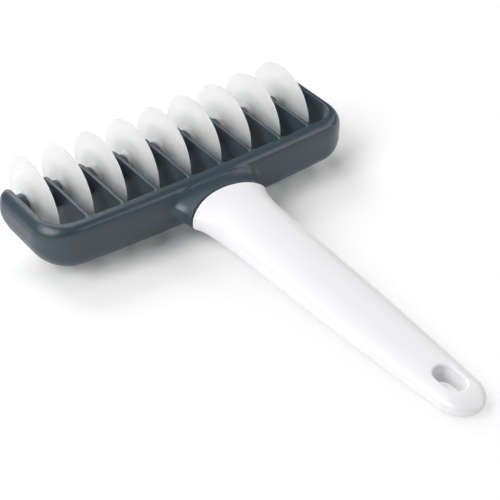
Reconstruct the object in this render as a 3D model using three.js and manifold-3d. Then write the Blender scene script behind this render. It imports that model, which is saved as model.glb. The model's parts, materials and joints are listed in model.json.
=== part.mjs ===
// A pastry roller cutter: nine loose cutting discs on one axle, in a finned head with a slip-on handle.
// Millimetres, +Z up, +X along the axle, the handle towards -Y. The tool lies as it is laid down on a
// table, on its discs and on the heel of its handle, with the origin under the middle of its outline.
import * as THREE from 'three';
import { mergeVertices } from 'three/addons/utils/BufferGeometryUtils.js';
import Module from 'manifold-3d';

const wasm = await Module();
wasm.setup();

// Axle and the plug that closes its hole
const AXLE_RADIUS = 2;
const AXLE_CLEARANCE = 0.3;
const AXLE_SEAT = 1.8;
const PLUG_LEDGE = 1.1;
const PLUG_THICKNESS = 1.6;
const PLUG_CLEARANCE = 0.25;

// Cutting discs
const DISC_COUNT = 9;
const DISC_PITCH = 13;
const DISC_RADIUS = 16.25;
const DISC_EDGE = 0.6;
const DISC_WEB = 2.2;
const DISC_BEVEL = 6.3;
const HUB_WALL = 2.7;
const HUB_FILLET = 1.2;
const HUB_END_PLAY = 0.25;

// Head: spine, arms, fins and bosses, with heights measured from the axle
const RIM_HEIGHT = 6.6;
const UNDERSIDE_DEPTH = 10.5;
const UNDERCUT_ANGLE = THREE.MathUtils.degToRad(15);
const DISC_TO_SPINE = 7.15;
const SPINE_WALL = 4.7;
const RIM_BOW = 1.5;
const UNDERSIDE_BOW = 2.7;
const ARM_WALL = 4.4;
const FIN_THICKNESS = 1.3;
const FIN_FILLET = 1.6;
const ARM_FILLET = 9;
const BOSS_WALL = 2.2;
const BOSS_STAND = 2.75;
const NOSE_CORNER = 4.5;
const TOP_ROUND = 1.5;
const BOTTOM_ROUND = 6.7;
const RIM_LEAN = 1.3;
const ARM_FLAT_TOP = 1.4;
const ARM_FLAT_BOTTOM = -2;
const ARM_UPPER_ROUND = 2.2;
const ARM_LOWER_ROUND = 9;
const LOWEST_CORNER = 3;

// Collar and tang that carry the handle
const COLLAR_LENGTH = 4.4;
const COLLAR_SPREAD = 4;
const COLLAR_RISE = 1;
const SEAM_BOW = 4;
const SEAM_GAP = 0.3;
const TANG_LENGTH = 48;
const TANG_CLEARANCE = 0.3;
const TANG_CORNER_POWER = 6;

// Handle, with its middle measured from the axle
const HANDLE_LENGTH = 120.5;
const HANDLE_MID = -1;
const ROOT_WIDTH = 31.2;
const ROOT_HEIGHT = 12.4;
const GRIP_WIDTH = 24.7;
const GRIP_HEIGHT = 12;
const END_WIDTH = 16;
const END_HEIGHT = 7.2;
const FLARE_LENGTH = 5.6;
const TAPER_POWER = 2.1;
const TIP_LENGTH = 9.9;
const TIP_TURN = THREE.MathUtils.degToRad(82);
const ROOT_LIP = 0.6;
const SECTION_POWER = 2.4;
const SIDE_WALL = 4.05;
const TOP_WALL = 2.5;
const HOLE_STRAIGHT = 4.2;
const HOLE_WIDTH = 6.8;
const HOLE_TO_TIP = 7.1;

// Fineness of the round forms, and the overlap of cutting shapes past what they cut
const DISC_SIDES = 36;
const ROD_SIDES = 20;
const SECTION_SIDES = 40;
const ROUND_STEPS = 4;
const EDGE_STEPS = 6;
const CORNER_STEPS = 6;
const NOSE_STEPS = 12;
const SPINE_STEPS = 8;
const BODY_STEPS = 13;
const TIP_STEPS = 5;
const MARGIN = 2;

const boreRadius = AXLE_RADIUS + AXLE_CLEARANCE;
const plugRadius = boreRadius + PLUG_LEDGE;
const insideHalf = DISC_COUNT * DISC_PITCH / 2;
const headHalf = insideHalf + ARM_WALL;
const headCorner = ARM_LOWER_ROUND + LOWEST_CORNER;
const upperHeight = RIM_HEIGHT - ARM_FLAT_TOP;
const lowerHeight = UNDERSIDE_DEPTH + ARM_FLAT_BOTTOM;
const bossEnd = FIN_THICKNESS / 2 + BOSS_STAND;
const hubHalf = DISC_PITCH / 2 - bossEnd - HUB_END_PLAY;
const spineReach = DISC_RADIUS + DISC_TO_SPINE + SPINE_WALL;
const spineFace = spineReach + RIM_BOW;
const seamReach = spineFace + COLLAR_LENGTH;
const tangWidth = GRIP_WIDTH - 2 * (SIDE_WALL + TANG_CLEARANCE);
const tangHeight = GRIP_HEIGHT - 2 * (TOP_WALL + TANG_CLEARANCE);
const handleRoot = seamReach + SEAM_GAP;
const bodyLength = HANDLE_LENGTH - TIP_LENGTH;

const material = (color, roughness, metalness = 0) =>
  new THREE.MeshStandardMaterial({ color, roughness, metalness });
const headPlastic = material('#48525b', 0.45);
const handlePlastic = material('#f3f3f1', 0.3);
const discPlastic = material('#efefec', 0.35);
const axleSteel = material('#b4b7ba', 0.3, 1);

// A solid for cutting and joining, and the geometry of a finished solid.
function solid(geometry) {
  geometry.deleteAttribute('normal');
  geometry.deleteAttribute('uv');
  const merged = mergeVertices(geometry);
  return new wasm.Manifold(new wasm.Mesh({
    numProp: 3,
    vertProperties: merged.attributes.position.array,
    triVerts: Uint32Array.from(merged.index.array),
  }));
}

function geometryOf(body) {
  const { vertProperties, triVerts } = body.getMesh();
  const geometry = new THREE.BufferGeometry();
  geometry.setAttribute('position', new THREE.BufferAttribute(vertProperties, 3));
  geometry.setIndex(new THREE.BufferAttribute(triVerts, 1));
  geometry.computeVertexNormals();
  return geometry;
}

// A closed skin over rings of points, each ring turning right-handed about the way the rings advance.
// The end caps run in strips across the ring, so that they follow a ring that is bowed.
function loft(rings) {
  const count = rings[0].length;
  const points = rings.flat();
  const index = [];
  for (let r = 0; r + 1 < rings.length; r += 1) {
    for (let k = 0; k < count; k += 1) {
      const a = r * count + k;
      const b = r * count + (k + 1) % count;
      index.push(a, b, b + count, a, b + count, a + count);
    }
  }
  const last = (rings.length - 1) * count;
  const cap = (a, b, c) => index.push(a, c, b, last + a, last + b, last + c);
  for (let k = 0; k + 1 < count - k; k += 1) {
    const across = count - k - 1;
    if (k + 1 < across) cap(k, k + 1, across);
    if (k > 0) cap(k, across, across + 1);
  }
  const geometry = new THREE.BufferGeometry().setFromPoints(points);
  geometry.setIndex(index);
  return geometry;
}

// A round bar along the axle's line.
function rod(radius, from, to) {
  const geometry = new THREE.CylinderGeometry(radius, radius, to - from, ROD_SIDES);
  geometry.rotateZ(Math.PI / 2);
  geometry.translate((from + to) / 2, 0, 0);
  return geometry;
}

// A rounded section across the handle's line: x to the side, z up, y from the function reach of x.
function section(width, height, power, reach) {
  const ring = [];
  for (let k = 0; k < SECTION_SIDES; k += 1) {
    const angle = 2 * Math.PI * k / SECTION_SIDES;
    const round = (v) => Math.sign(v) * Math.abs(v) ** (2 / power);
    const x = round(Math.cos(angle)) * width / 2;
    const z = HANDLE_MID + round(Math.sin(angle)) * height / 2;
    ring.push(new THREE.Vector3(x, -reach(x), z));
  }
  return ring;
}

// The spine bulges in the middle, more at its underside than at its rim, and by nothing at the head's ends.
function spineBow(x, z) {
  const depth = (RIM_HEIGHT - z) / (RIM_HEIGHT + UNDERSIDE_DEPTH);
  const most = THREE.MathUtils.lerp(RIM_BOW, UNDERSIDE_BOW, depth);
  return most * Math.max(0, 1 - (x / headHalf) ** 2);
}

// The seam between collar and handle curves back towards its sides.
const seamBow = (x) => SEAM_BOW * (2 * x / ROOT_WIDTH) ** 2;

// Plan outline of the head, drawn in at its arms and at its spine.
function headOutline(armInset, spineInset, z) {
  const cornerX = headHalf - headCorner;
  const cornerY = headCorner - spineReach;
  const noseX = headHalf - armInset - NOSE_CORNER;
  const noseY = RIM_HEIGHT - NOSE_CORNER;
  const ring = [];
  const corner = (x, y, radiusX, radiusY, from) => {
    for (let k = 0; k <= CORNER_STEPS; k += 1) {
      const angle = from + Math.PI / 2 * k / CORNER_STEPS;
      ring.push(new THREE.Vector3(x + radiusX * Math.cos(angle), y + radiusY * Math.sin(angle), z));
    }
  };
  corner(-cornerX, cornerY, headCorner - armInset, headCorner - spineInset, Math.PI);
  for (let k = 1; k < SPINE_STEPS; k += 1) {
    ring.push(new THREE.Vector3(cornerX * (2 * k / SPINE_STEPS - 1), spineInset - spineReach, z));
  }
  corner(cornerX, cornerY, headCorner - armInset, headCorner - spineInset, -Math.PI / 2);
  corner(noseX, noseY, NOSE_CORNER, NOSE_CORNER, 0);
  corner(-noseX, noseY, NOSE_CORNER, NOSE_CORNER, Math.PI / 2);
  for (const point of ring) {
    point.y -= spineBow(point.x, z) * Math.max(0, -point.y / spineReach);
  }
  return ring;
}

// How far a rounded edge is drawn in at a distance from its end, for its reach and its height.
function roundInset(reach, height, distance) {
  const left = Math.max(0, 1 - distance / height);
  return reach * (1 - Math.sqrt(1 - left ** 2));
}

// Block of the head with its rounded upper and lower edges, which are fuller at the arms. Above the flats
// of the arms its outer faces lean in towards the rim.
function headBlock() {
  const rings = [];
  for (let k = 0; k <= EDGE_STEPS; k += 1) {
    const rise = lowerHeight * (1 - Math.cos(Math.PI / 2 * k / EDGE_STEPS));
    rings.push(headOutline(
      roundInset(ARM_LOWER_ROUND, lowerHeight, rise),
      roundInset(BOTTOM_ROUND, BOTTOM_ROUND, rise),
      rise - UNDERSIDE_DEPTH,
    ));
  }
  for (let k = EDGE_STEPS; k >= 0; k -= 1) {
    const drop = upperHeight * (1 - Math.cos(Math.PI / 2 * k / EDGE_STEPS));
    const lean = RIM_LEAN * (1 - drop / upperHeight) ** 2;
    rings.push(headOutline(
      lean + roundInset(ARM_UPPER_ROUND, upperHeight, drop),
      lean + roundInset(TOP_ROUND, TOP_ROUND, drop),
      RIM_HEIGHT - drop,
    ));
  }
  return solid(loft(rings));
}

// Side view of arms and fins: a round nose about the axle, and an undercut that meets it at a tangent.
function sideProfile() {
  const behind = spineFace + MARGIN;
  const above = RIM_HEIGHT + MARGIN;
  const last = UNDERCUT_ANGLE - Math.PI / 2;
  const meetY = RIM_HEIGHT * Math.cos(last);
  const meetZ = RIM_HEIGHT * Math.sin(last);
  const shape = new THREE.Shape();
  shape.moveTo(-behind, above);
  shape.lineTo(0, above);
  shape.lineTo(0, RIM_HEIGHT);
  shape.absarc(0, 0, RIM_HEIGHT, Math.PI / 2, last, true);
  shape.lineTo(-behind, meetZ - (meetY + behind) * Math.tan(UNDERCUT_ANGLE));
  const length = 2 * (headHalf + MARGIN);
  const geometry = new THREE.ExtrudeGeometry(shape, {
    depth: length,
    bevelEnabled: false,
    curveSegments: NOSE_STEPS,
  });
  const alongX = new THREE.Matrix4().makeBasis(
    new THREE.Vector3(0, 1, 0),
    new THREE.Vector3(0, 0, 1),
    new THREE.Vector3(1, 0, 0),
  );
  geometry.applyMatrix4(alongX);
  geometry.translate(-length / 2, 0, 0);
  return solid(geometry);
}

// The open bay that one disc turns in, with filleted corners at the spine.
function bay(left, right, leftFillet, rightFillet) {
  const near = (x) => SPINE_WALL - spineReach - spineBow(x, RIM_HEIGHT);
  const far = RIM_HEIGHT + MARGIN;
  const shape = new THREE.Shape();
  shape.moveTo(left, far);
  shape.lineTo(left, near(left) + leftFillet);
  shape.quadraticCurveTo(left, near(left), left + leftFillet, near(left + leftFillet));
  shape.lineTo(right - rightFillet, near(right - rightFillet));
  shape.quadraticCurveTo(right, near(right), right, near(right) + rightFillet);
  shape.lineTo(right, far);
  const depth = RIM_HEIGHT + UNDERSIDE_DEPTH + 2 * MARGIN;
  const geometry = new THREE.ExtrudeGeometry(shape, {
    depth,
    bevelEnabled: false,
    curveSegments: ROUND_STEPS,
  });
  geometry.translate(0, 0, -UNDERSIDE_DEPTH - MARGIN);
  return solid(geometry);
}

// Collar from inside the spine out to the seam, spreading in a fillet where it leaves the spine.
function collar() {
  const rings = [];
  const ring = (out, spread, bow) => rings.push(section(
    ROOT_WIDTH + 2 * COLLAR_SPREAD * spread,
    ROOT_HEIGHT + 2 * COLLAR_RISE * spread,
    SECTION_POWER,
    (x) => spineFace + out + bow * seamBow(x),
  ));
  ring(-SPINE_WALL / 2, 1, 0);
  for (let k = 0; k <= ROUND_STEPS; k += 1) {
    const angle = Math.PI / 2 * k / ROUND_STEPS;
    const share = 1 - Math.cos(angle);
    ring(COLLAR_LENGTH * share, 1 - Math.sin(angle), share);
  }
  return solid(loft(rings));
}

// Tang inside the handle, and with an allowance the socket that takes it.
function tang(allowance) {
  const ring = (reach) => section(
    tangWidth + 2 * allowance,
    tangHeight + 2 * allowance,
    TANG_CORNER_POWER,
    () => reach,
  );
  return solid(loft([ring(spineFace), ring(seamReach + TANG_LENGTH + allowance)]));
}

function headFrame() {
  let body = headBlock().intersect(sideProfile());
  for (let k = 0; k < DISC_COUNT; k += 1) {
    const left = k * DISC_PITCH - insideHalf;
    const right = left + DISC_PITCH;
    const first = k === 0;
    const last = k === DISC_COUNT - 1;
    body = body.subtract(bay(
      first ? left : left + FIN_THICKNESS / 2,
      last ? right : right - FIN_THICKNESS / 2,
      first ? ARM_FILLET : FIN_FILLET,
      last ? ARM_FILLET : FIN_FILLET,
    ));
  }
  for (let k = 0; k <= DISC_COUNT; k += 1) {
    const wall = k * DISC_PITCH - insideHalf;
    const from = k === 0 ? wall - ARM_WALL / 2 : wall - bossEnd;
    const to = k === DISC_COUNT ? wall + ARM_WALL / 2 : wall + bossEnd;
    body = body.add(solid(rod(boreRadius + BOSS_WALL, from, to)));
  }
  const bore = solid(rod(boreRadius, -insideHalf - AXLE_SEAT, headHalf + MARGIN));
  const plugSeat = headHalf - PLUG_THICKNESS - PLUG_CLEARANCE;
  const plugHole = solid(rod(plugRadius + PLUG_CLEARANCE, plugSeat, headHalf + MARGIN));
  body = body.add(collar()).add(tang(0)).subtract(bore).subtract(plugHole);
  return geometryOf(body);
}

// Section of the handle at a distance from its root, drawn in all round by a shrink.
function handleSection(along, shrink) {
  const taper = Math.min(1, along / bodyLength);
  const past = Math.max(0, along - bodyLength) / TIP_LENGTH;
  const tip = Math.sqrt(1 - past ** 2);
  const flare = Math.exp(-along / FLARE_LENGTH);
  const gripWidth = GRIP_WIDTH + (END_WIDTH - GRIP_WIDTH) * taper ** TAPER_POWER;
  const gripHeight = GRIP_HEIGHT + (END_HEIGHT - GRIP_HEIGHT) * taper;
  const width = gripWidth + (ROOT_WIDTH - GRIP_WIDTH) * flare;
  const height = gripHeight + (ROOT_HEIGHT - GRIP_HEIGHT) * flare;
  return section(
    width * tip - 2 * shrink,
    height * tip - 2 * shrink,
    SECTION_POWER,
    (x) => handleRoot + along + seamBow(x) * (1 - taper),
  );
}

// Slot through the handle's end, for hanging it up.
function hangHole() {
  const radius = HOLE_WIDTH / 2;
  const straight = HOLE_STRAIGHT / 2;
  const middle = HOLE_TO_TIP + radius + straight - handleRoot - HANDLE_LENGTH;
  const shape = new THREE.Shape();
  shape.absarc(0, middle + straight, radius, 0, Math.PI, false);
  shape.absarc(0, middle - straight, radius, Math.PI, 2 * Math.PI, false);
  const depth = ROOT_HEIGHT + 2 * MARGIN;
  const geometry = new THREE.ExtrudeGeometry(shape, {
    depth,
    bevelEnabled: false,
    curveSegments: CORNER_STEPS,
  });
  geometry.translate(0, 0, HANDLE_MID - depth / 2);
  return solid(geometry);
}

function handle() {
  const rings = [handleSection(0, ROOT_LIP)];
  for (let k = 0; k <= BODY_STEPS; k += 1) {
    const share = (k / BODY_STEPS) ** 2;
    rings.push(handleSection(ROOT_LIP + (bodyLength - ROOT_LIP) * share, 0));
  }
  for (let k = 1; k <= TIP_STEPS; k += 1) {
    const share = Math.sin(TIP_TURN * k / TIP_STEPS);
    rings.push(handleSection(bodyLength + TIP_LENGTH * share, 0));
  }
  const body = solid(loft(rings)).subtract(tang(TANG_CLEARANCE)).subtract(hangHole());
  return geometryOf(body);
}

// A disc: hub, flat web and a bevel that runs out to a thin rim, bored for the axle.
function disc() {
  const half = [
    [boreRadius, hubHalf],
    [boreRadius + HUB_WALL, hubHalf],
    [boreRadius + HUB_WALL + HUB_FILLET, DISC_WEB / 2],
    [DISC_RADIUS - DISC_BEVEL, DISC_WEB / 2],
    [DISC_RADIUS, DISC_EDGE / 2],
  ];
  const profile = half.map(([radius, side]) => new THREE.Vector2(radius, -side));
  half.reverse().forEach(([radius, side]) => profile.push(new THREE.Vector2(radius, side)));
  profile.push(profile[0].clone());
  const geometry = new THREE.LatheGeometry(profile, DISC_SIDES);
  geometry.rotateZ(-Math.PI / 2);
  return geometryOf(solid(geometry));
}

// The tilt about the axle at which the first point of a geometry comes down to the table.
function restTilt(geometry) {
  const position = geometry.attributes.position;
  let tilt = Math.PI / 2;
  for (let k = 0; k < position.count; k += 1) {
    const back = -position.getY(k);
    const below = -position.getZ(k);
    const lever = Math.hypot(back, below);
    if (lever > DISC_RADIUS) {
      tilt = Math.min(tilt, Math.asin(DISC_RADIUS / lever) - Math.atan2(below, back));
    }
  }
  return tilt;
}

function piece(name, geometry, finish) {
  const mesh = new THREE.Mesh(geometry, finish);
  mesh.name = name;
  return mesh;
}

const headGeometry = headFrame();
const handleGeometry = handle();
const axleEnd = headHalf - PLUG_THICKNESS - 2 * PLUG_CLEARANCE;
const tilted = new THREE.Group();
tilted.rotation.x = Math.min(restTilt(headGeometry), restTilt(handleGeometry));
tilted.add(piece('head_frame', headGeometry, headPlastic));
tilted.add(piece('handle', handleGeometry, handlePlastic));
tilted.add(piece('axle', rod(AXLE_RADIUS, AXLE_CLEARANCE - insideHalf - AXLE_SEAT, axleEnd), axleSteel));
tilted.add(piece('axle_plug', rod(plugRadius, headHalf - PLUG_THICKNESS, headHalf), headPlastic));

const onTable = new THREE.Group();
onTable.add(tilted);
for (let k = 0; k < DISC_COUNT; k += 1) {
  const one = piece(`disc_${k + 1}`, disc(), discPlastic);
  one.position.x = (k + 0.5) * DISC_PITCH - insideHalf;
  onTable.add(one);
}

const outline = new THREE.Box3().setFromObject(onTable, true);
onTable.position.set(0, -(outline.min.y + outline.max.y) / 2, DISC_RADIUS);

const part = new THREE.Group();
part.add(onTable);

export default part;
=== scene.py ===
"""Looks of a pastry roller cutter: nine free discs on one axle, a comb-like head and a white handle.

The head and the handle are the zero levels of distance fields, and the discs are turned profiles, all
made in Geometry Nodes. The plug is turned in bmesh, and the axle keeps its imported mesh. Every piece sits
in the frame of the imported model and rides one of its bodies.
"""
import json
from itertools import product
from math import cos, pi, radians, sin, tau

import bmesh
import bpy
from bpy.props import FloatProperty, FloatVectorProperty, PointerProperty
from mathutils import Matrix, Vector


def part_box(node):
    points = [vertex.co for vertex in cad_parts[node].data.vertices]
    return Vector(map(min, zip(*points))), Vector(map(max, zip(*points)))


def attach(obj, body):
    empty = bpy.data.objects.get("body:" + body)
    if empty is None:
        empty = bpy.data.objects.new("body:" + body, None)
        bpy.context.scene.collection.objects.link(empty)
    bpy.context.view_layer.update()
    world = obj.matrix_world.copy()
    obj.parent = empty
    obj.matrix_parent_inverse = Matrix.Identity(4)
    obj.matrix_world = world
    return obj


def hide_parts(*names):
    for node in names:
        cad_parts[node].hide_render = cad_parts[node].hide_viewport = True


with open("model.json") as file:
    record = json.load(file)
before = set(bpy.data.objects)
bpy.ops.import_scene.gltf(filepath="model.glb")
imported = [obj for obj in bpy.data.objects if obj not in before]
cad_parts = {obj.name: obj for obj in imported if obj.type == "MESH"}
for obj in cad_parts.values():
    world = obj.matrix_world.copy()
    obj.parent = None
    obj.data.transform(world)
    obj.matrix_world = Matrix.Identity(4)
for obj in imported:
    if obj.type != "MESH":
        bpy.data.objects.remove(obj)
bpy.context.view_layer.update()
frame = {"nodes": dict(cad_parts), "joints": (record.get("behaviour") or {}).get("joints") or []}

bl_info = {
    "name": "Pastry roller cutter",
    "version": (1, 0, 0),
    "blender": (4, 5, 0),
    "location": "3D View > Sidebar > Cutter",
    "description": "Builds the pieces, finishes and stage of a pastry roller cutter",
    "category": "Object",
}

MM = 0.001
DISC_CENTRES = {joint["child"]: Vector(joint["pos_m"]) for joint in frame["joints"]}
AXLE = DISC_CENTRES["disc_5"]
FINS = 8

# Meshing of the mouldings: size of their voxels, room left round a piece, how far behind the axle the head
# is meshed, which is just past its seam, and steps that settle a mesh onto its field.
HEAD_GRAIN = 0.45 * MM
HANDLE_GRAIN = 0.5 * MM
ROOM = 1.5 * MM
HEAD_END = 42 * MM
SETTLE_STEPS = 2

# Corners of the small tetrahedron at which a field is read for its level and its lean, and their offset.
PROBE = 0.02 * MM
PROBES = ((1, -1, -1), (-1, -1, 1), (-1, 1, -1), (1, 1, 1))

# A smooth blend of this many radii comes out about as round as the radius.
BLEND = 1.17

# Floors for squares that are divided by, so that none is zero.
TINY_CORNER = 1e-12
TINY_LEAN = 1e-18

# Rows round a disc, length of its creases, and the distance at which its open ends are welded.
DISC_AROUND = 128
CREASE = 0.3 * MM
WELD = 0.0005 * MM

# Radius at which painted shade starts to grey a disc's bevel, and the width over which it grows.
BEVEL_SHADE_FROM = 10 * MM
BEVEL_SHADE_OVER = 4 * MM

# Plug: round of its outer edge, steps in that round, and the slight dish of its face.
PLUG_EDGE = 0.35 * MM
PLUG_STEPS = 6
PLUG_DISH = ((0.6, 0.02 * MM), (0.1, 0.06 * MM))

# Stage, in metres: half of the floor, half of the rectangle about the head where the floor doesn't glow,
# the width over which it starts to, and a side of the lamps. The camera's sensor is in millimetres.
FLOOR_HALF = 6
HEAD_HALF = Vector((0.06, 0.03))
GLOW_OVER = 0.045
LAMP_SIDE = 0.8
SENSOR = 36


# Sizes and colours

def length(name, description, millimetres):
    return FloatProperty(name=name, description=description, default=millimetres * MM,
                         subtype="DISTANCE", unit="LENGTH", precision=5)


def angle(name, description, degrees):
    return FloatProperty(name=name, description=description, default=radians(degrees),
                         subtype="ANGLE", unit="ROTATION")


def number(name, description, default):
    return FloatProperty(name=name, description=description, default=default, min=0)


def colour(name, description, default):
    return FloatVectorProperty(name=name, description=description, default=default, size=3,
                               min=0, max=1, subtype="COLOR")


class HeadSizes(bpy.types.PropertyGroup):
    """Sizes of the comb-like head, measured from the axle's line."""
    half_length: length("Half length", "Middle of the head to an arm's outer face", 62.9)
    arm_wall: length("Arm wall", "Thickness of an end arm", 4.4)
    corner: length("Corner", "Radius of the head's outer corners in plan", 12)
    rim: length("Rim", "Height of the rim above the axle, and radius of the nose", 6.6)
    depth: length("Depth", "Depth of the underside below the axle", 10.5)
    undercut: angle("Undercut", "Slope of the underside towards the nose", 15)
    reach: length("Reach", "Axle to the near face of the spine, at the ends", 28.1)
    bow: length("Bow", "Bulge of the spine in its middle, at the rim", 1.5)
    low_bow: length("Low bow", "Bulge of the spine in its middle, at the underside", 2.7)
    spine_wall: length("Spine wall", "Thickness of the spine", 4.7)
    top_reach: length("Top reach", "How far the spine's upper round reaches in", 1.5)
    top_drop: length("Top drop", "How far the spine's upper round reaches down", 1.5)
    low_round: length("Low round", "Round of the spine's lower edge", 6.7)
    lean: length("Lean", "How far the outer faces lean in towards the rim", 1.3)
    arm_top_reach: length("Arm top reach", "How far the arm's upper round reaches in", 2.2)
    arm_top_drop: length("Arm top drop", "How far the arm's upper round reaches down", 5.2)
    arm_low_reach: length("Arm low reach", "How far the arm's lower round reaches in", 9)
    arm_low_rise: length("Arm low rise", "How far the arm's lower round reaches up", 8.5)
    nose_corner: length("Nose corner", "Radius of an arm's nose in plan", 4.5)
    nose_edge: length("Nose edge", "Softness of an arm's edges at the nose", 2)
    nose_rise: length("Nose rise", "How far an arm's nose stands above the rim", 0.8)
    nose_crest: length("Nose crest", "Crest of an arm's nose from the arm's inner face", 1.2)
    nose_fall: length("Nose fall", "How far an arm's nose falls from its crest to the outer face", 4.3)
    nose_inside: length("Nose inside", "Radius of an arm's nose in plan, on the side of the discs", 2)
    pitch: length("Pitch", "Spacing of the fins", 13)
    fin: length("Fin", "Thickness of a fin", 1.3)
    fin_fillet: length("Fin fillet", "Fillet where a fin leaves the spine", 1.6)
    arm_fillet: length("Arm fillet", "Fillet where an arm leaves the spine", 8)
    edge: length("Edge", "Softness of the moulded edges", 0.36)
    boss: length("Boss", "Radius of the bearing bosses", 4.5)
    boss_end: length("Boss end", "Middle of a fin to the end of its boss", 3.4)
    collar: length("Collar", "Length of the collar behind the spine", 4.4)
    collar_width: length("Collar width", "Width of the collar at the seam", 31.2)
    collar_height: length("Collar height", "Height of the collar at the seam", 12.4)
    collar_spread: length("Collar spread", "Widening of the collar at the spine", 4)
    collar_rise: length("Collar rise", "Heightening of the collar at the spine", 1)
    seam_bow: length("Seam bow", "How far the seam curves back at its sides", 4)
    plug_hole: length("Plug hole", "Radius of the hole for the axle's plug", 3.65)
    plug_depth: length("Plug depth", "Depth of the hole for the axle's plug", 1.85)
    section: number("Section", "Power of the collar's rounded section", 2.4)
    middle: length("Middle", "Height of the collar's middle above the axle", -1)


class HandleSizes(bpy.types.PropertyGroup):
    """Sizes of the handle, measured along it from its root."""
    root: length("Root", "Axle to the root of the handle", 34.3)
    body: length("Body", "Length of the tapered body", 110.6)
    tip: length("Tip", "Length of the round tip", 9.9)
    reach: length("Reach", "Root to the end of the tip", 120.4)
    root_width: length("Root width", "Width at the root", 31.2)
    root_height: length("Root height", "Height at the root", 12.4)
    grip_width: length("Grip width", "Width of the grip past the flare", 24.7)
    grip_height: length("Grip height", "Height of the grip past the flare", 12)
    end_width: length("End width", "Width where the tip starts", 16)
    end_height: length("End height", "Height where the tip starts", 7.2)
    flare: length("Flare", "Length over which the root's flare dies out", 5.6)
    taper: number("Taper", "Power of the taper in width", 2.1)
    section: number("Section", "Power of the rounded section", 2.4)
    middle: length("Middle", "Height of the handle's middle above the axle", -1)
    seam_bow: length("Seam bow", "How far the seam curves back at its sides", 4)
    lip: length("Lip", "Round of the root's edge at the seam", 0.7)
    hole_middle: length("Hole middle", "Axle to the middle of the hanging hole", 142.2)
    hole_width: length("Hole width", "Width of the hanging hole", 6.8)
    hole_straight: length("Hole straight", "Length of the hanging hole's straight sides", 4.2)
    hole_lip: length("Hole lip", "Round of the hanging hole's edges", 1.1)


class DiscSizes(bpy.types.PropertyGroup):
    """Sizes of one disc."""
    radius: length("Radius", "Radius of the cutting rim", 16.25)
    rim: length("Rim", "Thickness of the cutting rim", 0.6)
    web: length("Web", "Thickness of the flat web", 2.2)
    bevel: length("Bevel", "Width of the bevel behind the rim", 6.3)
    bore: length("Bore", "Radius of the bore", 2.3)
    hub: length("Hub", "Radius of the hub", 5)
    hub_half: length("Hub half", "Middle of the disc to an end of its hub", 2.85)
    fillet: length("Fillet", "Fillet where the hub meets the web", 1.6)
    chamfer: length("Chamfer", "Chamfer of the bore's ends", 0.3)
    edge: length("Edge", "Round of the hub's outer edges", 1.4)


class Finishes(bpy.types.PropertyGroup):
    """Colours of the mouldings and of the axle."""
    head: colour("Head", "Blue-grey plastic of the head", (0.041, 0.063, 0.081))
    handle: colour("Handle", "White plastic of the handle", (0.84, 0.838, 0.855))
    disc: colour("Disc", "Milky plastic of the discs", (0.93, 0.935, 0.935))
    axle: colour("Axle", "Steel of the axle", (0.62, 0.63, 0.65))


class StageSettings(bpy.types.PropertyGroup):
    """Camera, lamps and floor."""
    azimuth: angle("Azimuth", "Camera's turn round the object", -37.1744)
    elevation: angle("Elevation", "Camera's height above the horizon", 35.025)
    roll: angle("Roll", "Camera's turn about its own line of sight", -1.0385)
    distance: length("Distance", "Camera to the point it looks at", 439.2847)
    target: FloatVectorProperty(name="Target", description="Point that the camera looks at", size=3,
                                default=(-0.0118257, 0.0045301, 0.0146067),
                                subtype="TRANSLATION", unit="LENGTH", precision=5)
    lens: FloatProperty(name="Lens", description="Focal length on a 36 mm sensor", default=100.7904,
                        min=1, unit="CAMERA")
    key: number("Key", "Power of the high lamp at the back left, in watts", 2.2)
    back: number("Back", "Power of the lamp behind, in watts", 8.4)
    left: number("Left", "Power of the lamp at the left, in watts", 11.8)
    right: number("Right", "Power of the lamp at the right, in watts", 2.8)
    fill: number("Fill", "Power of the lamp at the front right, in watts", 4.6)
    sky: number("Sky", "Level of the even light all round", 0.02)
    glow: number("Glow", "Share of the floor's white that the lamps don't give", 0.6)
    floor: colour("Floor", "Colour of the floor", (0.96, 0.96, 0.96))


class CutterSettings(bpy.types.PropertyGroup):
    """All sizes and colours of the cutter and its stage."""
    head: PointerProperty(type=HeadSizes)
    handle: PointerProperty(type=HandleSizes)
    disc: PointerProperty(type=DiscSizes)
    finish: PointerProperty(type=Finishes)
    stage: PointerProperty(type=StageSettings)
    tilt: angle("Tilt", "Lean of the head and handle as the tool lies on a table", 4.586828)


def values_of(group):
    """Sizes of a property group by their shown names."""
    shown = [item for item in group.bl_rna.properties if item.identifier in type(group).__annotations__]
    return {item.name: getattr(group, item.identifier) for item in shown}


# Node trees written as expressions

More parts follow.
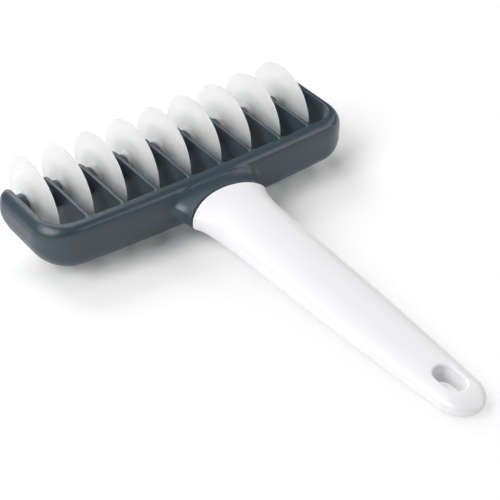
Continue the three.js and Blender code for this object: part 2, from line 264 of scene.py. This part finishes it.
class Wire:
    """An output socket; arithmetic on it adds Math nodes to its tree."""

    def __init__(self, board, socket):
        self.board, self.socket = board, socket

    def out(self, key):
        return Wire(self.board, self.socket.node.outputs[key])

    def maths(self, operation, *values):
        return self.board.node("ShaderNodeMath", {"operation": operation}, dict(enumerate(values)))

    def __add__(self, other):
        return self.maths("ADD", self, other)

    def __sub__(self, other):
        return self.maths("SUBTRACT", self, other)

    def __rsub__(self, other):
        return self.maths("SUBTRACT", other, self)

    def __mul__(self, other):
        return self.maths("MULTIPLY", self, other)

    def __truediv__(self, other):
        return self.maths("DIVIDE", self, other)

    def __rtruediv__(self, other):
        return self.maths("DIVIDE", other, self)

    def __pow__(self, other):
        return self.maths("POWER", self, other)

    def __neg__(self):
        return self.maths("MULTIPLY", self, -1)

    def __abs__(self):
        return self.maths("ABSOLUTE", self)

    __radd__ = __add__
    __rmul__ = __mul__

    def above(self, other):
        return self.maths("GREATER_THAN", self, other)

    def most(self, other, soft=None):
        if soft is None:
            return self.maths("MAXIMUM", self, other)
        return self.maths("SMOOTH_MAX", self, other, soft)

    def least(self, other, soft=None):
        if soft is None:
            return self.maths("MINIMUM", self, other)
        return self.maths("SMOOTH_MIN", self, other, soft)

    def held(self):
        return self.most(0).least(1)

    def root(self):
        return self.maths("SQRT", self)

    def sine(self):
        return self.maths("SINE", self)

    def cosine(self):
        return self.maths("COSINE", self)


class Board:
    """A node tree to lay nodes out on."""

    def __init__(self, tree):
        self.tree = tree

    def node(self, kind, settings=None, sockets=None, output=0):
        """Adds a node; its settings are set first, then the values or links of its sockets."""
        node = self.tree.nodes.new(kind)
        for name, value in (settings or {}).items():
            setattr(node, name, value)
        for key, value in (sockets or {}).items():
            if isinstance(value, Wire):
                self.tree.links.new(value.socket, node.inputs[key])
            else:
                node.inputs[key].default_value = value
        return Wire(self, node.outputs[output]) if node.outputs else None

    def vector(self, operation, *values, output=0):
        return self.node("ShaderNodeVectorMath", {"operation": operation}, dict(enumerate(values)), output)

    def scaled(self, vector, scale):
        return self.node("ShaderNodeVectorMath", {"operation": "SCALE"}, {0: vector, "Scale": scale})

    def parts(self, vector):
        apart = self.node("ShaderNodeSeparateXYZ", sockets={0: vector})
        return apart, apart.out(1), apart.out(2)

    def joined(self, x, y, z):
        return self.node("ShaderNodeCombineXYZ", sockets={0: x, 1: y, 2: z})

    def blended(self, first, second, share):
        """A colour between two colours."""
        return self.node("ShaderNodeMix", {"data_type": "RGBA"}, {0: share, 6: first, 7: second}, 2)


def choose(mask, yes, no):
    return no + (yes - no) * mask


def between(first, second, share):
    return first + (second - first) * share


def rounded_corner(a, b, radius):
    """Distance from the quarter where a and b are negative, with its corner rounded."""
    a, b = a + radius, b + radius
    outside = a.most(0) * a.most(0) + b.most(0) * b.most(0)
    return a.most(b).least(0) + outside.root() - radius


def rounded_section(x, z, half_width, half_height, power):
    """1 on the edge of a section between an ellipse and a rectangle, less inside it."""
    return ((abs(x) / half_width) ** power + (abs(z) / half_height) ** power) ** (1 / power)


def new_tree(name, inputs, results):
    """A geometry tree with named inputs, and its board and the wires of those inputs."""
    tree = bpy.data.node_groups.new(name, "GeometryNodeTree")
    for label, value in inputs.items():
        kind = ("NodeSocketInt" if isinstance(value, int) else
                "NodeSocketFloat" if isinstance(value, float) else "NodeSocketVector")
        tree.interface.new_socket(label, in_out="INPUT", socket_type=kind)
    for label, kind in results.items():
        tree.interface.new_socket(label, in_out="OUTPUT", socket_type=kind)
    board = Board(tree)
    inlet = board.node("NodeGroupInput")
    return tree, board, {label: inlet.out(label) for label in inputs}


def evaluated(name, tree, inputs):
    """A plain mesh piece from a tree, with the tree's inputs set by their identifiers."""
    piece = bpy.data.objects.new(name, bpy.data.meshes.new(name + "_start"))
    bpy.context.scene.collection.objects.link(piece)
    modifier = piece.modifiers.new("shape", "NODES")
    modifier.node_group = tree
    for item in tree.interface.items_tree:
        if item.in_out == "INPUT":
            modifier[item.identifier] = inputs[item.name]
    graph = bpy.context.evaluated_depsgraph_get()
    mesh = bpy.data.meshes.new_from_object(piece.evaluated_get(graph))
    if not mesh.polygons:
        raise RuntimeError(f"{name} came out empty")
    start = piece.data
    piece.modifiers.clear()
    piece.data = mesh
    mesh.name = name
    bpy.data.meshes.remove(start)
    return piece


# Distance fields of the mouldings, in the tool's own frame: x along the axle, y away from the handle

def head_distance(x, y, z, size):
    side, behind = abs(x), -y
    half, corner, rim = size["Half length"], size["Corner"], size["Rim"]
    share = x / half
    swell = (1 - share * share).most(0)
    deep = ((rim - z) / (rim + size["Depth"])).held()
    reach = size["Reach"] + between(size["Bow"], size["Low bow"], deep) * swell

    # Block of the head, its edges fuller at the arms than at the spine.
    end, back = (side - half + corner).most(0), (behind - reach + corner).most(0)
    front = rounded_corner(side - half, y - rim, size["Nose corner"])
    high = (1 + (z - rim) / size["Arm top drop"]).held()
    plan = rounded_corner(side - half, behind - reach, corner).most(front) + size["Lean"] * high * high
    arm = end * end / (end * end + back * back).most(TINY_CORNER)
    upper = z.above(0)
    inward = choose(upper, between(size["Top reach"], size["Arm top reach"], arm),
                    between(size["Low round"], size["Arm low reach"], arm))
    rise = choose(upper, between(size["Top drop"], size["Arm top drop"], arm),
                  between(size["Low round"], size["Arm low rise"], arm))
    over = choose(upper, z - rim, -z - size["Depth"])
    out, up = (plan / inward + 1).most(0), (over / rise + 1).most(0)
    block = ((out * out + up * up).root() - 1) * inward.least(rise)

    # Side view: a round nose about the axle, and an undercut that leaves it at a tangent. On the arms the
    # nose is crowned with a low dome.
    slope_sin, slope_cos = size["Undercut"].sine(), size["Undercut"].cosine()
    below = y * slope_sin - z * slope_cos
    along = -(y * slope_cos) - z * slope_sin
    ahead = y.most(0)
    top = (ahead * ahead + z * z).root()
    low = (along * along + below * below).root()
    inside = half - size["Arm wall"]
    off = (side - inside - size["Nose crest"]) / (size["Arm wall"] - size["Nose crest"])
    dome = off * off * size["Nose fall"] - size["Nose rise"]
    crown = side.above(inside) * (1 + y / rim).held() * dome
    nose = choose(upper, top, choose(along.above(0), below.most(z), low)) - rim + crown
    body = block.most(nose).most(front.most(nose, size["Nose edge"]))

    # Walls in plan: the rim round the open bays, and the fins between them.
    spine = size["Reach"] - size["Spine wall"] + size["Bow"] * swell
    bays = rounded_corner(side - inside, behind - spine, size["Arm fillet"])
    nearest = x.maths("ROUND", x / size["Pitch"] - 0.5).most(-FINS / 2).least(FINS / 2 - 1) + 0.5
    across = abs(x - nearest * size["Pitch"])
    arms = choose(y.above(0), rounded_corner(inside - side, y - rim, size["Nose inside"]), -bays)
    walls = arms.least(across - size["Fin"] / 2, size["Fin fillet"] * BLEND)
    head = body.most(walls, size["Edge"])

    # Bearing bosses on the fins and inside the arms.
    off_axle = (y * y + z * z).root()
    round_boss = off_axle - size["Boss"]
    head = head.least(round_boss.most(across - size["Boss end"], size["Edge"]), size["Edge"])
    in_arm = (inside - side - size["Boss end"]).most(side - inside - size["Arm wall"] / 2)
    head = head.least(round_boss.most(in_arm, size["Edge"]), size["Edge"])

    # Collar that spreads in a fillet where it leaves the spine, cut along the curved seam.
    sideways = x * 2 / size["Collar width"]
    seam = size["Collar"] + size["Seam bow"] * sideways * sideways
    left = 1 - ((behind - size["Reach"] - size["Bow"]) / seam).held()
    spread = 1 - (1 - left * left).root()
    ring = rounded_section(x, z - size["Middle"],
                           size["Collar width"] / 2 + size["Collar spread"] * spread,
                           size["Collar height"] / 2 + size["Collar rise"] * spread, size["Section"])
    skin = (ring - 1) * size["Collar height"] / 2
    past_seam = behind - size["Reach"] - size["Bow"] - seam
    collar = rounded_corner(skin, past_seam, size["Edge"]).most(
        size["Reach"] - size["Spine wall"] / 2 - behind)
    head = head.least(collar, size["Edge"] * 2)

    # Seat of the axle's plug in the right arm.
    seat = (off_axle - size["Plug hole"]).most(half - size["Plug depth"] - x)
    return head.most(-seat, size["Edge"] / 2)


def handle_distance(x, y, z, size):
    sideways = x * 2 / size["Root width"]
    seam = size["Seam bow"] * sideways * sideways
    behind = -y - size["Root"]
    along = ((behind - seam) / (1 - seam / size["Body"])).least(behind)
    taper = (along / size["Body"]).held()
    past = ((along - size["Body"]) / size["Tip"]).most(0)
    flare = x.maths("EXPONENT", -(along.most(0) / size["Flare"]))
    width = (between(size["Grip width"], size["End width"], taper ** size["Taper"])
             + (size["Root width"] - size["Grip width"]) * flare)
    height = (between(size["Grip height"], size["End height"], taper)
              + (size["Root height"] - size["Grip height"]) * flare)
    ring = rounded_section(x, z - size["Middle"], width / 2, height / 2, size["Section"])
    skin = ((ring * ring + past * past).root() - 1) * height / 2
    skin = rounded_corner(skin, -along, size["Lip"]).most(behind - size["Reach"])

    # Hole for hanging the tool up.
    half_straight = size["Hole straight"] / 2
    beyond = (abs(y + size["Hole middle"]) - half_straight).most(0)
    hole = (x * x + beyond * beyond).root() - size["Hole width"] / 2
    return skin.most(-hole, size["Hole lip"] * BLEND)


def level_box(node, tilt):
    """A node's box as the tool stands level, measured from the axle, with some room to spare."""
    low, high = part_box(node)
    level = Matrix.Rotation(-tilt, 3, "X")
    corners = [level @ (Vector(corner) - AXLE) for corner in product(*zip(low, high))]
    room = Vector((ROOM, ROOM, ROOM))
    return Vector(map(min, zip(*corners))) - room, Vector(map(max, zip(*corners))) + room


def moulding(name, distance, sizes, tilt, low, high, grain, finish):
    """A moulded piece: the zero level of its field, meshed with the tool level and its axle at the origin,
    settled onto the field, and then tilted to the way the tool lies."""
    shape = values_of(sizes)
    field, board, wires = new_tree(name + " field", {"Point": (0, 0, 0), **shape},
                                   {"Distance": "NodeSocketFloat"})
    board.node("NodeGroupOutput", sockets={0: distance(*board.parts(wires["Point"]), wires)})

    steps = [round((b - a) / grain) + 1 for a, b in zip(low, high)]
    inputs = {**shape, "Axle": tuple(AXLE), "Tilt": tilt, "Low corner": tuple(low),
              "High corner": tuple(high), "Steps X": steps[0], "Steps Y": steps[1], "Steps Z": steps[2]}
    tree, board, wires = new_tree(name, inputs, {"Geometry": "NodeSocketGeometry"})
    sizing = {label: wires[label] for label in shape}

    def distance_at(point):
        return board.node("GeometryNodeGroup", {"node_tree": field}, {"Point": point, **sizing})

    def level_and_lean():
        place = board.node("GeometryNodeInputPosition")
        level, lean = 0, (0, 0, 0)
        for corner in PROBES:
            value = distance_at(board.vector("ADD", place, [PROBE * part for part in corner]))
            level = level + value / len(PROBES)
            lean = board.vector("ADD", lean, board.scaled(corner, value))
        return level, lean

    cloud = board.node("GeometryNodeVolumeCube", sockets={
        "Density": -distance_at(board.node("GeometryNodeInputPosition")), "Background": -1.0,
        "Min": wires["Low corner"], "Max": wires["High corner"], "Resolution X": wires["Steps X"],
        "Resolution Y": wires["Steps Y"], "Resolution Z": wires["Steps Z"]})
    skin = board.node("GeometryNodeVolumeToMesh", sockets={"Volume": cloud, "Threshold": 0.0})
    for _ in range(SETTLE_STEPS):
        level, lean = level_and_lean()
        steepness = board.vector("DOT_PRODUCT", lean, lean, output=1).most(TINY_LEAN)
        step = level * (-len(PROBES) * PROBE) / steepness
        skin = board.node("GeometryNodeSetPosition",
                          sockets={"Geometry": skin, "Offset": board.scaled(lean, step)})
    skin = board.node("GeometryNodeSetShadeSmooth", sockets={0: skin})

    def tilted(vector):
        return board.node("ShaderNodeVectorRotate", {"rotation_type": "X_AXIS"},
                          {"Vector": vector, "Angle": wires["Tilt"]})

    lean = level_and_lean()[1]
    skin = board.node("GeometryNodeSetMeshNormal", {"mode": "FREE", "domain": "POINT"},
                      {"Mesh": skin, "Custom Normal": tilted(board.vector("NORMALIZE", lean))})
    place = board.vector("ADD", tilted(board.node("GeometryNodeInputPosition")), wires["Axle"])
    skin = board.node("GeometryNodeSetPosition", sockets={"Geometry": skin, "Position": place})
    skin = board.node("GeometryNodeRealizeInstances", sockets={0: skin})
    skin = board.node("GeometryNodeSetMaterial", sockets={"Geometry": skin, "Material": finish})
    board.node("NodeGroupOutput", sockets={0: skin})
    return evaluated(name, tree, inputs)


# The discs and the plug

def disc_tree(sizes, finish):
    """A disc turned about the axle: its half profile runs from the bore out to the rim, and is mirrored."""
    inputs = {**values_of(sizes), "Centre": (0, 0, 0)}
    tree, board, wires = new_tree("disc", inputs, {"Geometry": "NodeSocketGeometry"})
    bore, hub, edge, fillet = wires["Bore"], wires["Hub"], wires["Edge"], wires["Fillet"]
    chamfer = wires["Chamfer"]
    web, rim = wires["Web"] / 2, wires["Rim"] / 2
    slope = (web - rim) / wires["Bevel"]
    # Rows, outward step, sideways step and form of each stretch of the half profile.
    stretches = (
        (1, chamfer, chamfer, "line"),
        (3, hub - bore - edge - chamfer, 0, "line"),
        (7, edge, -edge, "over"),
        (6, fillet, web + edge - wires["Hub half"], "into"),
        (4, wires["Radius"] - wires["Bevel"] - hub - fillet - CREASE, 0, "line"),
        (1, CREASE, 0, "line"),
        (1, CREASE, -(slope * CREASE), "line"),
        (7, wires["Bevel"] - rim - CREASE, rim - web + slope * CREASE, "line"),
        (4, rim, -rim, "over"),
    )
    half_rows = sum(stretch[0] for stretch in stretches)
    rows = 2 * half_rows + 1

    sheet = board.node("GeometryNodeMeshGrid", sockets={
        "Size X": float(rows), "Size Y": 1.0, "Vertices X": rows + 1, "Vertices Y": DISC_AROUND + 1})
    across, around, _ = board.parts(board.node("GeometryNodeInputPosition"))
    row = across.maths("MODULO", across.maths("ROUND", across + rows / 2), rows)
    step = half_rows - abs(row - half_rows)
    side = row.maths("SIGN", row - half_rows)
    radius, half, first = bore, wires["Hub half"] - chamfer, 0
    for count, outward, sideways, form in stretches:
        share = ((step - first) / count).held()
        turn = share * (pi / 2)
        out = {"line": share, "over": turn.sine(), "into": 1 - turn.cosine()}[form]
        over = {"line": share, "over": 1 - turn.cosine(), "into": turn.sine()}[form]
        radius, half, first = radius + out * outward, half + over * sideways, first + count
    turn = around * tau
    place = board.joined(side * half, radius * turn.cosine(), radius * turn.sine())
    skin = board.node("GeometryNodeSetPosition", sockets={
        "Geometry": sheet.out("Mesh"), "Position": board.vector("ADD", place, wires["Centre"])})
    skin = board.node("GeometryNodeMergeByDistance", sockets={0: skin, "Distance": WELD})
    skin = board.node("GeometryNodeSetShadeSmooth", sockets={0: skin})
    skin = board.node("GeometryNodeRealizeInstances", sockets={0: skin})
    skin = board.node("GeometryNodeSetMaterial", sockets={"Geometry": skin, "Material": finish})
    board.node("NodeGroupOutput", sockets={0: skin})
    return tree


def face_outwards(mesh):
    shape = bmesh.new()
    shape.from_mesh(mesh)
    bmesh.ops.recalc_face_normals(shape, faces=shape.faces)
    shape.to_mesh(mesh)
    shape.free()


def turned(name, profile, centre, sides=64):
    """A solid turned about the axle's line from points along it and out from it."""
    shape = bmesh.new()
    rings = []
    for along, out in profile:
        rings.append([shape.verts.new((along, centre.y + out * cos(tau * k / sides),
                                       centre.z + out * sin(tau * k / sides))) for k in range(sides)])
    for ring, after in zip(rings, rings[1:]):
        for k in range(sides):
            shape.faces.new((ring[k - 1], ring[k], after[k], after[k - 1]))
    shape.faces.new(rings[0])
    shape.faces.new(rings[-1])
    bmesh.ops.recalc_face_normals(shape, faces=shape.faces)
    mesh = bpy.data.meshes.new(name)
    shape.to_mesh(mesh)
    shape.free()
    mesh.shade_smooth()
    piece = bpy.data.objects.new(name, mesh)
    bpy.context.scene.collection.objects.link(piece)
    return piece


# Finishes

def surface(name):
    """A new material, its board, and the object coordinates on it."""
    material = bpy.data.materials.new(name)
    material.use_nodes = True
    material.node_tree.nodes.clear()
    board = Board(material.node_tree)
    return material, board, board.node("ShaderNodeTexCoord").out("Object")


def noise(board, place, scale, detail=2.0):
    return board.node("ShaderNodeTexNoise", sockets={"Vector": place, "Scale": scale, "Detail": detail})


def shaded(base, level):
    return (*(min(1, part * level) for part in base), 1)


def coated(board, sockets):
    skin = board.node("ShaderNodeBsdfPrincipled", sockets=sockets)
    board.node("ShaderNodeOutputMaterial", sockets={"Surface": skin})


def head_finish(base):
    """Satin moulding: a fine grain with soft flow marks along the head."""
    material, board, place = surface("satin_blue_grey")
    flow = noise(board, board.vector("MULTIPLY", place, (0.4, 1, 1)), 90, 3.0)
    grain = noise(board, place, 2100) * 0.6 + noise(board, place, 1250) * 0.4
    bump = board.node("ShaderNodeBump", sockets={"Strength": 0.3, "Distance": 0.05 * MM, "Height": grain})
    coated(board, {"Base Color": board.blended(shaded(base, 0.93), shaded(base, 1.07), flow),
                   "Roughness": 0.24 + flow * 0.14, "Normal": bump, "IOR": 1.5})
    return material


def handle_finish(base):
    """Glossy white moulding with a very slight waviness."""
    material, board, place = surface("gloss_white")
    wave = noise(board, place, 70)
    haze = noise(board, board.vector("MULTIPLY", place, (1, 0.3, 1)), 260, 3.0)
    bump = board.node("ShaderNodeBump", sockets={"Strength": 0.1, "Distance": 0.2 * MM, "Height": wave})
    coated(board, {"Base Color": board.blended(shaded(base, 0.985), shaded(base, 1.015), haze),
                   "Roughness": 0.2 + haze * 0.1, "Normal": bump, "IOR": 1.5})
    return material


def disc_finish(base):
    """Milky moulding that lets light through, with painted shade that greys it where the bevel thins it."""
    material, board, place = surface("milky_white")
    _, behind, above = board.parts(board.vector("SUBTRACT", place, AXLE))
    out = (behind * behind + above * above).root()
    # Painted shade: a mask that rises across the bevel, where the disc's colour is greyed.
    bevel_shade = ((out - BEVEL_SHADE_FROM) / BEVEL_SHADE_OVER).held()
    cloud = noise(board, place, 220, 3.0)
    grain = noise(board, place, 1800)
    bump = board.node("ShaderNodeBump", sockets={"Strength": 0.06, "Distance": 0.05 * MM, "Height": grain})
    # The bevel's painted shade, mixed with a little random cloud, greys the milky colour.
    tint = board.blended(shaded(base, 1), shaded(base, 0.9), bevel_shade * 0.8 + cloud * 0.2)
    coated(board, {"Base Color": tint, "Roughness": 0.38 + cloud * 0.1, "Normal": bump, "IOR": 1.5,
                   "Subsurface Weight": 1.0, "Subsurface Scale": 0.02, "Subsurface Radius": (1, 1, 1)})
    return material


def axle_finish(base):
    """Drawn steel with fine lines along the axle."""
    material, board, place = surface("drawn_steel")
    lines = noise(board, board.vector("MULTIPLY", place, (0.02, 1, 1)), 4000, 3.0)
    bump = board.node("ShaderNodeBump", sockets={"Strength": 0.15, "Distance": 0.02 * MM, "Height": lines})
    coated(board, {"Base Color": board.blended(shaded(base, 0.9), shaded(base, 1.08), lines),
                   "Roughness": 0.24 + lines * 0.12, "Normal": bump, "Metallic": 1.0})
    return material


# Operators

class CUTTER_OT_head(bpy.types.Operator):
    """Mould the head with its fins, bosses and collar"""
    bl_idname = "cutter.head"
    bl_label = "Head"

    def execute(self, context):
        settings = context.scene.cutter
        low, high = level_box("head_frame", settings.tilt)
        low.y = -HEAD_END  # Leaves out the end of the box with the tang, which the handle hides.
        piece = moulding("head", head_distance, settings.head, settings.tilt, low, high,
                         HEAD_GRAIN, head_finish(settings.finish.head))
        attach(piece, "tool")
        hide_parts("head_frame")
        return {"FINISHED"}


class CUTTER_OT_handle(bpy.types.Operator):
    """Mould the white handle with its hanging hole"""
    bl_idname = "cutter.handle"
    bl_label = "Handle"

    def execute(self, context):
        settings = context.scene.cutter
        low, high = level_box("handle", settings.tilt)
        piece = moulding("grip", handle_distance, settings.handle, settings.tilt, low, high,
                         HANDLE_GRAIN, handle_finish(settings.finish.handle))
        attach(piece, "tool")
        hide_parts("handle")
        return {"FINISHED"}


class CUTTER_OT_discs(bpy.types.Operator):
    """Turn the nine discs, one for each body"""
    bl_idname = "cutter.discs"
    bl_label = "Discs"

    def execute(self, context):
        settings = context.scene.cutter
        tree = disc_tree(settings.disc, disc_finish(settings.finish.disc))
        for body, centre in DISC_CENTRES.items():
            piece = evaluated("turned_" + body, tree, {**values_of(settings.disc), "Centre": tuple(centre)})
            face_outwards(piece.data)
            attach(piece, body)
            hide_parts(body)
        return {"FINISHED"}


class CUTTER_OT_axle(bpy.types.Operator):
    """Finish the axle and turn the plug that closes its hole"""
    bl_idname = "cutter.axle"
    bl_label = "Axle and plug"

    def execute(self, context):
        finish = context.scene.cutter.finish
        axle = frame["nodes"]["axle"]
        axle.data.materials.clear()
        axle.data.materials.append(axle_finish(finish.axle))
        low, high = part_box("axle_plug")
        out = (high.z - low.z) / 2
        profile = [(low.x, out - PLUG_EDGE), (low.x + PLUG_EDGE, out)]
        for k in range(PLUG_STEPS + 1):
            turn = pi / 2 * k / PLUG_STEPS
            profile.append((high.x - PLUG_EDGE * (1 - sin(turn)), out - PLUG_EDGE * (1 - cos(turn))))
        profile += [(high.x - dip, out * share) for share, dip in PLUG_DISH]
        piece = turned("plug", profile, (low + high) / 2)
        piece.data.materials.append(bpy.data.materials["satin_blue_grey"])
        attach(piece, "tool")
        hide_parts("axle_plug")
        return {"FINISHED"}


def lamp(name, place, target, power):
    light = bpy.data.lights.new(name, "AREA")
    light.shape, light.size, light.energy = "SQUARE", LAMP_SIDE, power
    stand = bpy.data.objects.new(name, light)
    stand.location = place
    stand.rotation_euler = (Vector(place) - target).to_track_quat("Z", "Y").to_euler()
    bpy.context.scene.collection.objects.link(stand)


class CUTTER_OT_stage(bpy.types.Operator):
    """Set up the floor, the soft lamps and the camera"""
    bl_idname = "cutter.stage"
    bl_label = "Stage"

    def execute(self, context):
        scene, stage = context.scene, context.scene.cutter.stage
        scene.view_settings.view_transform = "Standard"
        target = Vector(stage.target)

        half = FLOOR_HALF
        mesh = bpy.data.meshes.new("floor")
        mesh.from_pydata([(-half, -half, 0), (half, -half, 0), (half, half, 0), (-half, half, 0)],
                         [], [(0, 1, 2, 3)])
        floor = bpy.data.objects.new("floor", mesh)
        scene.collection.objects.link(floor)
        material, board, place = surface("pale_floor")
        ray = board.node("ShaderNodeLightPath")
        seen = ray.out("Is Camera Ray").most(ray.out("Is Glossy Ray")).most(ray.out("Is Transmission Ray"))
        across, along, _ = board.parts(place)
        off_side = (abs(across) - HEAD_HALF.x).most(0)
        off_end = (abs(along - AXLE.y) - HEAD_HALF.y).most(0)
        far = ((off_side * off_side + off_end * off_end).root() / GLOW_OVER).held()
        matt = board.node("ShaderNodeBsdfDiffuse", sockets={"Color": (*stage.floor, 1)})
        glow = board.node("ShaderNodeEmission", sockets={"Color": (1, 1, 1, 1), "Strength": 1.0})
        both = board.node("ShaderNodeMixShader", sockets={0: seen * far * stage.glow, 1: matt, 2: glow})
        board.node("ShaderNodeOutputMaterial", sockets={"Surface": both})
        mesh.materials.append(material)

        world = bpy.data.worlds.new("studio")
        world.use_nodes = True
        world.node_tree.nodes.clear()
        board = Board(world.node_tree)
        sky = board.node("ShaderNodeBackground", sockets={"Color": (1, 1, 1, 1), "Strength": stage.sky})
        board.node("ShaderNodeOutputWorld", sockets={"Surface": sky})
        scene.world = world

        lamp("key", (-0.4, 0.4, 1.05), target, stage.key)
        lamp("back", (0.05, 1, 0.65), target, stage.back)
        lamp("left", (-0.92, 0, 0.76), target, stage.left)
        lamp("right", (1, 0, 0.65), target, stage.right)
        lamp("fill", (0.72, -0.72, 0.62), target, stage.fill)

        camera = bpy.data.objects.new("camera", bpy.data.cameras.new("camera"))
        camera.data.lens, camera.data.sensor_width = stage.lens, SENSOR
        turn = (Matrix.Rotation(stage.azimuth, 3, "Z") @ Matrix.Rotation(pi / 2 - stage.elevation, 3, "X")
                @ Matrix.Rotation(stage.roll, 3, "Z"))
        camera.rotation_euler = turn.to_euler()
        camera.location = target + turn.col[2] * stage.distance
        scene.collection.objects.link(camera)
        scene.camera = camera
        return {"FINISHED"}


class CUTTER_PT_sidebar(bpy.types.Panel):
    """Pieces of the cutter, in the order that they are made"""
    bl_idname = "CUTTER_PT_sidebar"
    bl_label = "Pastry roller cutter"
    bl_space_type = "VIEW_3D"
    bl_region_type = "UI"
    bl_category = "Cutter"

    def draw(self, context):
        for operator in OPERATORS:
            self.layout.operator(operator.bl_idname)


OPERATORS = (CUTTER_OT_head, CUTTER_OT_handle, CUTTER_OT_discs, CUTTER_OT_axle, CUTTER_OT_stage)
CLASSES = (HeadSizes, HandleSizes, DiscSizes, Finishes, StageSettings, CutterSettings,
           *OPERATORS, CUTTER_PT_sidebar)


def register():
    for item in CLASSES:
        bpy.utils.register_class(item)
    bpy.types.Scene.cutter = PointerProperty(type=CutterSettings)


def unregister():
    del bpy.types.Scene.cutter
    for item in reversed(CLASSES):
        bpy.utils.unregister_class(item)


def main():
    register()
    bpy.ops.cutter.head()
    bpy.ops.cutter.handle()
    bpy.ops.cutter.discs()
    bpy.ops.cutter.axle()
    bpy.ops.cutter.stage()


if __name__ == "__main__":
    main()
